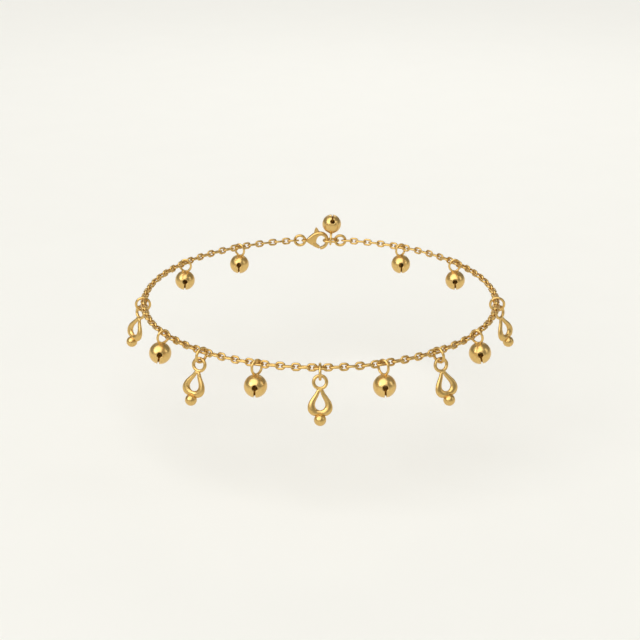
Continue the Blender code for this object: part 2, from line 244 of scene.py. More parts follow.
class AnkletBellSizes(bpy.types.PropertyGroup):
    """Sizes of a bell."""

    radius: length("Bell radius", "Outer radius of the shell", 0.0024)
    wall: length("Bell wall", "Thickness of the shell", 0.0003)
    hang: length("Hang", "From the chain to the bell's centre", 0.0047)
    loop_width: length("Loop width", "Outer width of the wire loop", 0.0032)
    loop_wire: length("Loop wire", "Thickness of the wire loop", 0.00055)
    slot_width: length("Slot width", "Width of the keyhole's slot", 0.00035)
    solder: length("Solder", "Height of the solder round the loop's foot", 0.00017)


class AnkletDropSizes(bpy.types.PropertyGroup):
    """Sizes of a drop and its jump ring."""

    ring_radius: length("Jump ring radius", "Outer radius of the jump ring", 0.00185)
    ring_wire: length("Jump ring wire", "Thickness of the jump ring", 0.0006)
    eye_radius: length("Eye radius", "Outer radius of the eye", 0.00165)
    eye_wire: length("Eye wire", "Thickness of the eye", 0.0007)
    frame_width: length("Frame width", "Width of the pear frame", 0.0050)
    frame_length: length("Frame length", "Length of the pear frame", 0.0056)
    frame_thickness: length("Frame thickness", "Full thickness of the frame", 0.0011)
    ball_radius: length("Ball radius", "Radius of the ball under the frame", 0.00125)


class AnkletClaspSizes(bpy.types.PropertyGroup):
    """Sizes of the clasp, its rings and its link."""

    ring_radius: length("Ring radius", "Outer radius of the rings", 0.00165)
    ring_wire: length("Ring wire", "Thickness of the rings", 0.0007)
    link_length: length("Link length", "Outer length of the oval link", 0.00425)
    link_width: length("Link width", "Outer width of the oval link", 0.0028)
    link_wire: length("Link wire", "Thickness of the oval link", 0.0006)
    body_length: length("Body length", "From the neck to the hook's far side", 0.0054)
    body_height: length("Body height", "Height of the clasp's body", 0.00465)
    body_thickness: length("Body thickness", "Thickness of the clasp's body", 0.0014)
    eye_radius: length("Eye radius", "Outer radius of the clasp's eye", 0.00096)
    eye_wire: length("Eye wire", "Thickness of the clasp's eye", 0.0005)
    lever_thickness: length("Lever thickness", "Thickness of the lever", 0.0005)
    pin_radius: length("Pin radius", "Radius of the lever's pin", 0.0003)


class AnkletColours(bpy.types.PropertyGroup):
    """Colours of the metal and the floor."""

    chain: colour("Chain gold", "Gold of the chain's links", (0.68, 0.44, 0.14))
    rings: colour("Ring gold", "Gold of the clasp's rings and link", (0.70, 0.46, 0.15))
    bells: colour("Bell gold", "Gold of the bells", (0.76, 0.51, 0.18))
    drops: colour("Drop gold", "Gold of the drops and jump rings", (0.71, 0.47, 0.155))
    clasp: colour("Clasp gold", "Gold of the clasp", (0.69, 0.45, 0.15))
    # Tarnish and painted shade: this colour darkens the gold in hollows, on the inner sides of
    # wires and inside the bells
    tarnish_and_shade: colour("Tarnish and shade", "Darker gold in the recesses", (0.34, 0.18, 0.055))
    edge: colour("Edge", "Gold where the metal turns away from the eye", (0.50, 0.34, 0.16))
    floor: colour("Floor", "Cream of the floor", (0.91, 0.90, 0.845))


def turned(axis, degrees):
    """4x4 turn about the X, Y or Z axis."""
    return np.array(Matrix.Rotation(math.radians(degrees), 4, axis))


def moved(x, y, z):
    """4x4 move."""
    return np.array(Matrix.Translation((x, y, z)))


def round_angles(count):
    """Angles spaced evenly round a circle."""
    return math.tau * np.arange(count) / count


def grid_faces(rows, columns, close_rows):
    """Corners of every cell of a grid whose columns close round: (r, c), (r, c+1), (r+1, c+1) and
    (r+1, c), with the points numbered row by row."""
    row, column = np.meshgrid(np.arange(rows if close_rows else rows - 1), np.arange(columns),
                              indexing="ij")
    next_row = (row + 1) % rows
    next_column = (column + 1) % columns
    corners = (row * columns + column, row * columns + next_column,
               next_row * columns + next_column, next_row * columns + column)
    return np.stack(corners, axis=-1).reshape(-1, 4)


def fan_faces(first, count, pole):
    """Triangles from a ring of points to a pole, whose number fills two of the corners."""
    ring = first + np.arange(count)
    return np.stack((ring, first + (np.arange(count) + 1) % count, np.full(count, pole),
                     np.full(count, pole)), axis=-1)


def capped_faces(rows, columns):
    """Faces of a grid closed by a pole at each end, with the poles numbered after its points."""
    count = rows * columns
    return np.vstack((grid_faces(rows, columns, False), fan_faces(0, columns, count)[:, ::-1],
                      fan_faces(count - columns, columns, count + 1)))


def facing_out(points, faces):
    """Faces of a closed surface turned so that its volume, the sum of a.(b x c)/6 over triangles,
    is positive."""
    a, b, c, d = (points[faces[:, i]] for i in range(4))
    volume = np.sum(a * np.cross(b, c)) + np.sum(a * np.cross(c, d))
    return faces if volume > 0 else faces[:, ::-1]


def surface(points, faces, shade_tarnish_mask, tone=None):
    """Points, outward faces, and the masks that the gold reads: tarnish with painted shade in
    recesses, and tone.
    """
    points = points.reshape(-1, 3)
    shade_tarnish_mask = np.broadcast_to(shade_tarnish_mask, len(points)) if np.ndim(shade_tarnish_mask) == 0 else shade_tarnish_mask.reshape(-1)
    tone = np.zeros(len(points)) if tone is None else tone.reshape(-1)
    return {"points": points, "faces": facing_out(points, faces), "shade_tarnish_mask": shade_tarnish_mask, "tone": tone}


def placed(part, *steps):
    """Surface after the 4x4 matrices, the last one first."""
    matrix = np.linalg.multi_dot(steps) if len(steps) > 1 else steps[0]
    points = part["points"] @ matrix[:3, :3].T + matrix[:3, 3]
    return {**part, "points": points}


def joined(*parts):
    """One surface from several, with the faces' numbers moved on by the points before them."""
    offsets = np.cumsum([0] + [len(part["points"]) for part in parts[:-1]])
    made = {key: np.concatenate([part[key] for part in parts])
            for key in ("points", "shade_tarnish_mask", "tone")}
    made["faces"] = np.concatenate([part["faces"] + start for part, start in zip(parts, offsets)])
    return made


def mesh_of(name, part):
    """Blender mesh of a surface, shaded smooth, with its masks as point attributes. A triangle is
    a row whose last two or first two corners are the same."""
    faces = part["faces"]
    last_same = faces[:, 2] == faces[:, 3]
    first_same = faces[:, 0] == faces[:, 1]
    corners = faces[~last_same & ~first_same].tolist() + faces[last_same][:, :3].tolist()
    corners += faces[first_same][:, 1:].tolist()
    mesh = bpy.data.meshes.new(name)
    mesh.from_pydata(part["points"].tolist(), [], corners)
    mesh.shade_smooth()
    for key in ("shade_tarnish_mask", "tone"):
        layer = mesh.attributes.new(key, "FLOAT", "POINT")
        layer.data.foreach_set("value", part[key].astype(np.float32))
    return mesh


def show(name, mesh, body, material):
    """Puts a finished piece in the scene in place of the CAD node of its name."""
    piece = bpy.data.objects.new(name + "_piece", mesh)
    bpy.context.scene.collection.objects.link(piece)
    mesh.materials.clear()
    mesh.materials.append(material)
    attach(piece, body)
    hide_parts(name)
    return piece


def show_rigid(name, part, material):
    """Puts a surface in the scene as a piece of the anklet's rigid body."""
    show(name, mesh_of(name, part), "anklet", material)


def blend(p0, p1, p2, p3, t):
    """Smooth way from p1 at t = 0 to p2 at t = 1, by the cubic
    (2 p1 + (p2-p0) t + (2 p0-5 p1+4 p2-p3) t2 + (3 p1-p0-3 p2+p3) t3) / 2."""
    return (2 * p1 + (p2 - p0) * t + (2 * p0 - 5 * p1 + 4 * p2 - p3) * t ** 2
            + (3 * p1 - p0 - 3 * p2 + p3) * t ** 3) / 2


def closed_curve(points, count):
    """Smooth closed curve through points, with each span's cubic taken from the four points
    round it."""
    place = np.arange(count) * len(points) / count
    span = place.astype(int)
    t = (place - span)[:, None]
    return blend(*(points[(span + k) % len(points)] for k in (-1, 0, 1, 2)), t)


def open_curve(points, count):
    """Smooth open curve through points, spaced by its length. It is the closed curve's cubic with
    the two ends carried on straight."""
    padded = np.vstack((2 * points[0] - points[1], points, 2 * points[-1] - points[-2]))
    place = np.linspace(0, len(points) - 1 - 1e-9, 400)
    span = place.astype(int)
    t = (place - span)[:, None]
    fine = blend(*(padded[span + k] for k in (0, 1, 2, 3)), t)
    run = np.concatenate(([0], np.cumsum(np.linalg.norm(np.diff(fine, axis=0), axis=1))))
    even = np.linspace(0, run[-1], count)
    return np.stack([np.interp(even, run, fine[:, k]) for k in range(fine.shape[1])], axis=-1)


def wire_ring(half_width, half_height, wire, straight=0.0, around=80, sides=16):
    """Oval wire ring in the XZ plane. Its centre line is (a cos t, b sin t), moved apart by the
    straight sides, and its section is a circle round it."""
    t = math.tau * (np.arange(around) + 0.5) / around
    turn = round_angles(sides)
    a = half_width - wire / 2 - straight / 2
    b = half_height - wire / 2
    side = np.sign(np.cos(t)) * straight / 2
    centre = np.stack((a * np.cos(t) + side, 0 * t, b * np.sin(t)), axis=-1)
    normal = np.stack((b * np.cos(t), 0 * t, a * np.sin(t)), axis=-1)
    normal /= np.linalg.norm(normal, axis=1)[:, None]
    out = normal[:, None, :] * np.cos(turn)[None, :, None]
    points = centre[:, None, :] + wire / 2 * (
        out + np.sin(turn)[None, :, None] * np.array((0.0, 1.0, 0.0)))
    # Tarnish and painted shade: the wire's side towards the ring's middle is darkened
    shade_tarnish_mask = np.broadcast_to(0.35 * np.clip(-np.cos(turn), 0, 1) ** 2, (around, sides))
    return surface(points, grid_faces(around, sides, True), shade_tarnish_mask)


def ball(radii, tarnish_and_shade=0.0, rows=22, columns=40):
    """Closed ball or bead: (rx sin p cos q, ry sin p sin q, rz cos p) with poles on Z."""
    p = np.pi * (np.arange(1, rows) / rows)[:, None]
    q = round_angles(columns)[None, :]
    rx, ry, rz = radii
    grid = np.stack((rx * np.sin(p) * np.cos(q), ry * np.sin(p) * np.sin(q),
                     rz * np.cos(p) + 0 * q), axis=-1).reshape(-1, 3)
    points = np.vstack((grid, (0, 0, rz), (0, 0, -rz)))
    return surface(points, capped_faces(rows - 1, columns), tarnish_and_shade)


def charm_seat(sizes, angle, lean, swing):
    """4x4 place on the chain's centre line. Its -Y points outward and its X runs along."""
    turn = math.radians(angle)
    radius = sizes.loop_radius
    return np.linalg.multi_dot((
        moved(radius * math.sin(turn), -radius * math.cos(turn), 0),
        turned("Z", angle), turned("Y", -swing), turned("X", -lean)))


def chain_links(sizes):
    """Interlocking oval links. Link k stands LINK_TURN k + LINK_GROWTH k^2 degrees either side of
    the front. Whole k lie flat, half k stand upright. A link is a wire of circular section carried
    round (b cos t + or - s/2, b sin t), b half the width between its wires' middles and s its
    straight length, which fills the way between its neighbours. The chain is twisted by the twist
    times cos(angle) and a little at random."""
    k = np.arange(-LINK_PAIRS, LINK_PAIRS + 0.25, 0.5)
    angle = np.radians(np.sign(k) * (LINK_TURN * np.abs(k) + LINK_GROWTH * k ** 2))
    pitch = np.radians(LINK_TURN + 2 * LINK_GROWTH * np.abs(k)) / 2 * sizes.loop_radius
    upright = np.round(2 * np.abs(k)).astype(int) % 2 == 1
    charm = np.isin(np.abs(k), CHARM_LINKS)
    random = np.random.default_rng(7)
    roll = np.radians(LINK_TWIST) * np.cos(angle) + random.normal(0, LINK_ROLL, len(k))
    roll = np.where(charm, 0, roll) + upright * np.pi / 2
    wire = sizes.link_wire / 2
    width = np.where(charm, sizes.charm_link_width, sizes.link_width)
    reach = pitch + 2 * sizes.link_wire + LINK_GAP
    reach += np.where(upright, -1, 1) * sizes.long_and_short
    t = (math.tau * (np.arange(LINK_POINTS) + 0.5) / LINK_POINTS)[None, :, None]
    turn = round_angles(LINK_SIDES)[None, None, :]
    b = (width / 2 - wire)[:, None, None]
    half_straight = ((reach - width) / 2)[:, None, None]
    x = b * np.cos(t) + np.sign(np.cos(t)) * half_straight + wire * np.cos(turn) * np.cos(t)
    z = b * np.sin(t) + wire * np.cos(turn) * np.sin(t)
    y = wire * np.sin(turn) + 0 * x
    along = np.stack((np.cos(angle), np.sin(angle), 0 * angle), axis=-1)
    outward = np.stack((np.sin(angle), -np.cos(angle), 0 * angle), axis=-1)
    up = np.array((0.0, 0.0, 1.0))
    across = np.cos(roll)[:, None] * outward + np.sin(roll)[:, None] * up
    through = -np.sin(roll)[:, None] * outward + np.cos(roll)[:, None] * up
    centre = sizes.loop_radius * outward - CHARM_SAG * charm[:, None] * up
    points = centre[:, None, None] + sum(
        value[..., None] * way[:, None, None]
        for value, way in ((x, along), (z, across), (y, through)))
    first = np.arange(len(k)) * LINK_POINTS * LINK_SIDES
    faces = grid_faces(LINK_POINTS, LINK_SIDES, True)[None] + first[:, None, None]
    # Tarnish and painted shade: each link's inner side, where the links hang in each other, is
    # darkened
    shade_tarnish_mask = np.broadcast_to(0.5 * np.clip(-np.cos(turn), 0, 1), x.shape)
    tone = np.broadcast_to(random.uniform(-1, 1, len(k))[:, None, None], x.shape)
    return surface(points, faces.reshape(-1, 4), shade_tarnish_mask, tone)


def bell_shell(sizes, hole_up):
    """Hollow shell round the origin with its crown at +Z and its keyhole at -Y. On the unit sphere
    a band of points lies d radians from the opening's edge: round the hole's centre at d + its
    span, beside the slot at (sin l, -cos l sin m, -cos l cos m) with l = d + the edge's l at m,
    and round the slot's end. Its columns stand closer beside the hole, down to m = close_to. The
    band is turned up by hole_up. Meridians run from the band's outer rim up to the crown. The
    wall's edge is a half circle from the outer to the inner sphere."""
    hole = math.radians(KEYHOLE_SPAN)
    band = math.radians(KEYHOLE_BAND)
    slot = math.asin(sizes.slot_width / 2 / sizes.radius)
    edge = sizes.wall / 2 / sizes.radius
    last_m = -SLOT_PAST_BOTTOM
    psi = np.radians(np.linspace(90, 0, 9)[:-1])
    close_to = 74
    m = np.radians(np.concatenate((np.linspace(90, close_to, 10)[:-1],
                                   np.linspace(close_to, last_m, 16))))
    psi_end = np.radians(np.linspace(0, 90, 9)[1:])
    in_hole = m > np.radians(90 - HOLE_INTO_SLOT)
    hole_l = np.arccos(np.clip(np.cos(hole) / np.sin(np.where(in_hole, m, np.pi / 2)), 0, 1))
    slot_l = ((hole_l * in_hole) ** 6 + slot ** 6) ** (1 / 6)
    near = np.concatenate((np.full(len(psi), hole), slot_l, np.full(len(psi_end), slot)))
    reach = band - near
    end_m = math.radians(last_m)
    end_centre = np.array((0, -math.sin(end_m), -math.cos(end_m)))
    end_way = np.array((0, math.cos(end_m), -math.sin(end_m)))
    tip = turned("X", -hole_up)[:3, :3]

    def band_points(d):
        """Unit points d radians from the edge of the opening, for each column."""
        l = near + d
        rho, side_l, end_l = np.split(l, (len(psi), len(psi) + len(m)))
        cap = np.stack((np.sin(rho) * np.cos(psi), -np.cos(rho), np.sin(rho) * np.sin(psi)), -1)
        side = np.stack((np.sin(side_l), -np.cos(side_l) * np.sin(m),
                         -np.cos(side_l) * np.cos(m)), -1)
        end = np.cos(end_l)[:, None] * end_centre + np.sin(end_l)[:, None] * (
            np.cos(psi_end)[:, None] * np.array((1, 0, 0)) + np.sin(psi_end)[:, None] * end_way)
        return np.vstack((cap, side, end)) @ tip.T

    rim = band_points(reach)
    polar = np.arccos(rim[:, 2])
    azimuth = np.arctan2(rim[:, 0], -rim[:, 1])
    down = np.linspace(0, 1, 22)[1:, None] * polar[None, :]
    meridian = np.stack((np.sin(down) * np.sin(azimuth), -np.sin(down) * np.cos(azimuth),
                         np.cos(down)), axis=-1)
    inward = np.stack([band_points(edge + (reach - edge) * s) for s in (0.75, 0.5, 0.25)])
    turn = np.linspace(0, np.pi, 7)
    lip = np.stack([band_points(edge * (1 - np.sin(b)) + 0 * reach) for b in turn])
    lip_radius = sizes.radius - sizes.wall / 2 * (1 - np.cos(turn))
    mound = sizes.solder * np.exp(-(down / math.radians(SOLDER_SPREAD)) ** 2)
    inner = sizes.radius - sizes.wall
    right = np.concatenate((
        meridian * (sizes.radius + mound)[..., None], inward * sizes.radius,
        lip * lip_radius[:, None, None], inward[::-1] * inner, meridian[::-1] * inner))
    # Painted shade with tarnish: the crown round the loop's foot, the rim towards the inside and
    # the whole inside of the shell are darkened
    crown = 0.7 * np.exp(-(down / math.radians(CROWN_DARK_SPREAD)) ** 2)
    dark = np.concatenate((
        crown, 0 * inward[..., 0], 0.5 * (1 - np.cos(turn))[:, None] * np.ones(lip.shape[:2]),
        np.ones(inward.shape[:2]), np.ones(meridian.shape[:2])))
    last = right.shape[1] - 1
    points = np.concatenate((right, (right * np.array((-1.0, 1.0, 1.0)))[:, last - 1:0:-1]), axis=1)
    shade_tarnish_mask = np.concatenate((dark, dark[:, last - 1:0:-1]), axis=1)
    faces = capped_faces(*points.shape[:2])
    points = np.vstack((points.reshape(-1, 3), (0, 0, sizes.radius + sizes.solder), (0, 0, inner)))
    shade_tarnish_mask = np.concatenate((shade_tarnish_mask.reshape(-1), (0.7, 1.0)))
    return surface(points, faces, shade_tarnish_mask)


def bell(sizes, held_radius, hang, loop_width, loop_turn, facing, hole_up):
    """Shell with its keyhole aimed, and the wire loop that goes round what carries it."""
    top = held_radius + HANG_GAP + sizes.loop_wire
    bottom = -(hang - sizes.radius) - sizes.loop_wire / 2 - LOOP_SOLDER
    loop = wire_ring(loop_width / 2, (top - bottom) / 2, sizes.loop_wire)
    return joined(
        placed(bell_shell(sizes, hole_up), moved(0, 0, -hang), turned("Z", facing)),
        placed(loop, moved(0, 0, (top + bottom) / 2), turned("Z", 90 + loop_turn)))


def pear_frame(sizes):
    """Closed frame of a drop. Its sections are ovals between the outer and the inner outline:
    middle + cos(v) (outer - inner) / 2 + sin(v) depth."""
    around = 120
    sides = 20
    left = FRAME_SECTIONS[-2:0:-1] * np.array((-1, 1, -1, 1, 1))
    rows = closed_curve(np.vstack((FRAME_SECTIONS, left)), around)
    half_width = sizes.frame_width / 2
    none = 0 * rows[:, 0]
    outer = np.stack((rows[:, 0] * half_width, none, -rows[:, 1] * sizes.frame_length), axis=-1)
    inner = np.stack((rows[:, 2] * half_width, none, -rows[:, 3] * sizes.frame_length), axis=-1)
    depth = np.stack((none, rows[:, 4] * sizes.frame_thickness / 2, none), axis=-1)
    turn = round_angles(sides)[None, :, None]
    points = ((outer + inner)[:, None] / 2 + np.cos(turn) * (outer - inner)[:, None] / 2
              + np.sin(turn) * depth[:, None])
    # Tarnish and painted shade: the frame's side towards its inner hole is darkened
    shade_tarnish_mask = np.broadcast_to(0.4 * np.clip(-np.cos(turn[..., 0]), 0, 1) ** 3, (around, sides))
    return surface(points, grid_faces(around, sides, True), shade_tarnish_mask)


def drop(sizes):
    """Eye, pear frame and ball with a bead of solder between each, the eye's centre at the
    origin."""
    eye = wire_ring(sizes.eye_radius, sizes.eye_radius, sizes.eye_wire)
    top = -sizes.eye_radius + FRAME_SOLDER
    cleft = top - FRAME_SECTIONS[-1, 1] * sizes.frame_length
    end_ball = ball((sizes.ball_radius,) * 3)
    # The beads of solder are darkened all over, partly tarnish and partly painted shade between the
    # pieces
    return joined(
        eye, placed(pear_frame(sizes), moved(0, 0, top)),
        placed(ball(EYE_BEAD, 0.7, 10, 20), moved(0, 0, top - EYE_BEAD_DEPTH)),
        placed(end_ball, moved(0, 0, cleft - sizes.ball_radius + BALL_SOLDER)),
        placed(ball(BALL_BEAD, 0.8, 10, 20), moved(0, 0, cleft)))


def clasp_layout(chain, sizes):
    """Places of the clasp's pieces along X, added up as they hang in each other."""
    ring_inner = sizes.ring_radius - sizes.ring_wire
    eye_inner = sizes.eye_radius - sizes.eye_wire
    neck = ring_inner - HANG_GAP + eye_inner + sizes.eye_radius - NECK_SOLDER
    link_left = neck + HOOK_INNER_ALONG * sizes.body_length - HANG_GAP - sizes.link_wire
    ring_x = (link_left + sizes.link_length - sizes.link_wire - HANG_GAP + ring_inner) / 2
    eye_x = -ring_x + ring_inner - HANG_GAP + eye_inner
    return {
        "y": math.sqrt(chain.loop_radius ** 2 - ring_x ** 2),
        "ring": ring_x,
        "eye": eye_x,
        "neck": eye_x + sizes.eye_radius - NECK_SOLDER,
        "link": link_left - ring_x + sizes.link_length / 2,
    }


def clasp_of(scene):
    """Sizes of the clasp and places of its pieces."""
    return scene.anklet_clasp, clasp_layout(scene.anklet_chain, scene.anklet_clasp)


def clasp_points(shares, layout, sizes):
    """(x, z) of shares of the clasp's length and height."""
    return np.stack((layout["neck"] + shares[:, 0] * sizes.body_length,
                     (shares[:, 1] - 0.5) * sizes.body_height), axis=-1)


def clasp_hook(layout, sizes):
    """Body of the clasp: ovals squared off as |cos|^q and |sin|^q, q the squareness, carried from
    the neck to the tip between the outer and the inner edge, with both ends drawn in to a
    round."""
    count = 110
    outer = open_curve(clasp_points(CLASP_OUTER, layout, sizes), count)
    inner = open_curve(clasp_points(CLASP_INNER, layout, sizes), count)
    middle = (outer + inner) / 2
    half = (outer - inner) / 2
    round_in = np.radians(np.array((78, 60, 40, 20)))
    start = middle[0] - middle[1]
    start *= BODY_END_REACH / np.linalg.norm(start)
    end = middle[-1] - middle[-2]
    end *= BODY_END_REACH / np.linalg.norm(end)
    middle = np.vstack((middle[0] + np.sin(round_in)[:, None] * start, middle,
                        middle[-1] + np.sin(round_in[::-1])[:, None] * end))
    shrink = np.concatenate((np.cos(round_in), np.ones(count), np.cos(round_in[::-1])))
    steps = len(round_in)
    half = np.vstack((np.repeat(half[:1], steps, 0), half, np.repeat(half[-1:], steps, 0)))
    half *= shrink[:, None]
    deep = sizes.body_thickness / 2 * shrink
    turn = round_angles(32)
    wide = np.sign(np.cos(turn)) * np.abs(np.cos(turn)) ** BODY_SQUARENESS
    thick = np.sign(np.sin(turn)) * np.abs(np.sin(turn)) ** BODY_SQUARENESS
    x = middle[:, 0, None] + wide[None] * half[:, 0, None]
    z = middle[:, 1, None] + wide[None] * half[:, 1, None]
    y = deep[:, None] * thick[None]
    grid = np.stack((x, y, z), axis=-1)
    ends = np.array(((middle[0, 0], 0, middle[0, 1]), (middle[-1, 0], 0, middle[-1, 1])))
    return surface(np.vstack((grid.reshape(-1, 3), ends)), capped_faces(*grid.shape[:2]), 0.12)


def box_surface(low, high):
    """Closed block between two corners."""
    low, high = np.array(low), np.array(high)
    corner = np.array(((0, 0, 0), (1, 0, 0), (1, 1, 0), (0, 1, 0),
                       (0, 0, 1), (1, 0, 1), (1, 1, 1), (0, 1, 1)))
    faces = np.array(((0, 3, 2, 1), (4, 5, 6, 7), (0, 1, 5, 4), (1, 2, 6, 5), (2, 3, 7, 6),
                      (3, 0, 4, 7)))
    return surface(low + corner * (high - low), faces, 0.0)


def rod_surface(radius, half_length, dome):
    """Closed rod along Y with domed ends: rings of radius r at y, then a pole at each end."""
    share = np.radians(np.array((70, 45, 20, 0)))
    radii = radius * np.concatenate((np.cos(share), np.cos(share[::-1])))
    y = np.concatenate((-half_length - dome * np.sin(share),
                        half_length + dome * np.sin(share[::-1])))
    sides = 32
    turn = round_angles(sides)
    grid = np.stack((radii[:, None] * np.cos(turn), y[:, None] + 0 * turn,
                     radii[:, None] * np.sin(turn)), axis=-1)
    ends = np.array(((0, -half_length - dome, 0), (0, half_length + dome, 0)))
    points = np.vstack((grid.reshape(-1, 3), ends))
    return surface(points, capped_faces(len(radii), sides), 0.2)


def cut(mesh, tool):
    """Mesh with a closed tool cut out of it, its cut edges kept sharp."""
    base = bpy.data.objects.new("cut_base", mesh)
    cutter = bpy.data.objects.new("cut_tool", tool)
    for item in (base, cutter):
        bpy.context.scene.collection.objects.link(item)
    step = base.modifiers.new("cut", "BOOLEAN")
    step.operation = "DIFFERENCE"
    step.solver = "EXACT"
    step.object = cutter
    bpy.context.view_layer.update()
    shown = base.evaluated_get(bpy.context.evaluated_depsgraph_get())
    made = bpy.data.meshes.new_from_object(shown)
    for item in (base, cutter):
        bpy.data.objects.remove(item)
    made.set_sharp_from_angle(angle=math.radians(SHARP_CUT))
    return made


def lever_grid(layout, sizes):
    """Rows of points round the lever's edge, from one flat side to the other: the outline drawn
    in by r (1 - cos a) at the height r sin a past the flat, r the round on its edge."""
    outline = closed_curve(clasp_points(LEVER_OUTLINE, layout, sizes), 108)
    ahead = np.roll(outline, -1, 0) - np.roll(outline, 1, 0)
    normal = np.stack((ahead[:, 1], -ahead[:, 0]), axis=-1)
    normal /= np.linalg.norm(normal, axis=1)[:, None]
    normal *= np.sign(np.sum((outline - outline.mean(0)) * normal))
    turn = np.radians(np.array((90, 60, 30, 0)))
    inset = LEVER_ROUND * (1 - np.cos(turn))
    inset = np.concatenate((inset, inset[::-1]))
    flat = sizes.lever_thickness / 2 - LEVER_ROUND
    y = flat + LEVER_ROUND * np.sin(turn)
    y = np.concatenate((-y, y[::-1]))
    edge = outline[None] - inset[:, None, None] * normal[None]
    return np.stack((edge[..., 0], y[:, None] + 0 * edge[..., 0], edge[..., 1]), axis=-1)


def lever_mesh(layout, sizes):
    """Lever with its pin's hole. Each of its two flat sides is a single face."""
    grid = lever_grid(layout, sizes)
    rows, columns = grid.shape[:2]
    points = grid.reshape(-1, 3)
    faces = facing_out(points, grid_faces(rows, columns, False))
    mesh = bpy.data.meshes.new("clasp_lever")
    first = list(range(columns))
    last = list(range((rows - 1) * columns, rows * columns))
    mesh.from_pydata(points.tolist(), [], faces.tolist() + [first[::-1], last])
    pivot = clasp_points(PIVOT[None], layout, sizes)[0]
    hole = rod_surface(sizes.pin_radius + LEVER_GAP, 2 * sizes.lever_thickness, LEVER_GAP)
    mesh = cut(mesh, mesh_of("hole", placed(hole, moved(pivot[0], 0, pivot[1]))))
    mesh.shade_smooth()
    mesh.set_sharp_from_angle(angle=math.radians(SHARP_LEVER))
    return mesh


def fill(node, values):
    """Sets inputs of a node by their names."""
    for name, value in values.items():
        node.inputs[name].default_value = value


def gold_finish():
    """Group that turns a piece's place, its mask of tarnish and painted shade, and its tone into
    its gold's
    colour, roughness and height: soft patches of wear, fine hair scratches in two directions, and
    tarnish with painted shade in recesses."""
    group = bpy.data.node_groups.new("Gold finish", "ShaderNodeTree")
    sockets = (("Place", "NodeSocketVector", None), ("Shade and tarnish", "NodeSocketFloat", 0.0),
               ("Tone", "NodeSocketFloat", 0.0), ("Gold", "NodeSocketColor", None),
               ("Tarnish and shade", "NodeSocketColor", None), ("Polish", "NodeSocketFloat", 0.2),
               ("Scratches", "NodeSocketFloat", 0.5))
    for name, kind, value in sockets:
        socket = group.interface.new_socket(name, in_out="INPUT", socket_type=kind)
        if value is not None:
            socket.default_value = value
    for name, kind in (("Colour", "NodeSocketColor"), ("Roughness", "NodeSocketFloat"),
                       ("Height", "NodeSocketFloat")):
        group.interface.new_socket(name, in_out="OUTPUT", socket_type=kind)
    nodes, links = group.nodes, group.links
    given = nodes.new("NodeGroupInput")
    out = nodes.new("NodeGroupOutput")

    def maths(operation, *values, clamp=False):
        """Math node on two or three sockets or numbers."""
        node = nodes.new("ShaderNodeMath")
        node.operation = operation
        node.use_clamp = clamp
        for socket, value in zip(node.inputs, values):
            if isinstance(value, (int, float)):
                socket.default_value = value
            else:
                links.new(value, socket)
        return node.outputs[0]

    def noise(scale, detail, stretch=None, turn=(0, 0, 0)):
        """Noise over the place, stretched along one way of a turned piece of space."""
        node = nodes.new("ShaderNodeTexNoise")
        fill(node, {"Scale": scale, "Detail": detail})
        source = given.outputs["Place"]
        if stretch:
            mapping = nodes.new("ShaderNodeMapping")
            fill(mapping, {"Scale": stretch, "Rotation": turn})
            links.new(source, mapping.inputs["Vector"])
            source = mapping.outputs["Vector"]
        links.new(source, node.inputs["Vector"])
        return node.outputs["Fac"]

    def above(value, low, high):
        """0 below low, 1 above high, straight between."""
        node = nodes.new("ShaderNodeMapRange")
        fill(node, {"From Min": low, "From Max": high})
        links.new(value, node.inputs["Value"])
        return node.outputs["Result"]

    patches = above(noise(420.0, 3.0), 0.38, 0.66)
    grain = noise(9000.0, 2.0)
    hair_a = above(noise(1.0, 2.0, (260, 9000, 4200), (0.5, 0.3, 0.9)), 0.62, 0.74)
    hair_b = above(noise(1.0, 2.0, (6200, 240, 8000), (-0.4, 0.7, 0.2)), 0.64, 0.76)
    hairs = maths("MULTIPLY", maths("MAXIMUM", hair_a, hair_b), given.outputs["Scratches"])
    # Darker colour from patches of wear and from the mask of tarnish and painted shade in recesses
    shade = maths("MULTIPLY_ADD", patches, 0.13,
                  maths("MULTIPLY", given.outputs["Shade and tarnish"], 0.62))
    mix = nodes.new("ShaderNodeMix")
    mix.data_type = "RGBA"
    links.new(shade, mix.inputs["Factor"])
    links.new(given.outputs["Gold"], mix.inputs[6])
    links.new(given.outputs["Tarnish and shade"], mix.inputs[7])
    light = nodes.new("ShaderNodeHueSaturation")
    links.new(maths("MULTIPLY_ADD", given.outputs["Tone"], 0.07, 1.0), light.inputs["Value"])
    links.new(mix.outputs[2], light.inputs["Color"])
    links.new(light.outputs["Color"], out.inputs["Colour"])
    rough = maths("ADD", given.outputs["Polish"], maths("MULTIPLY", patches, 0.07))
    rough = maths("ADD", rough, maths("MULTIPLY", given.outputs["Shade and tarnish"], 0.16))
    rough = maths("ADD", rough, maths("MULTIPLY", hairs, 0.12), clamp=True)
    links.new(rough, out.inputs["Roughness"])
    height = maths("SUBTRACT", maths("MULTIPLY", grain, 0.25), hairs)
    links.new(height, out.inputs["Height"])
    return group


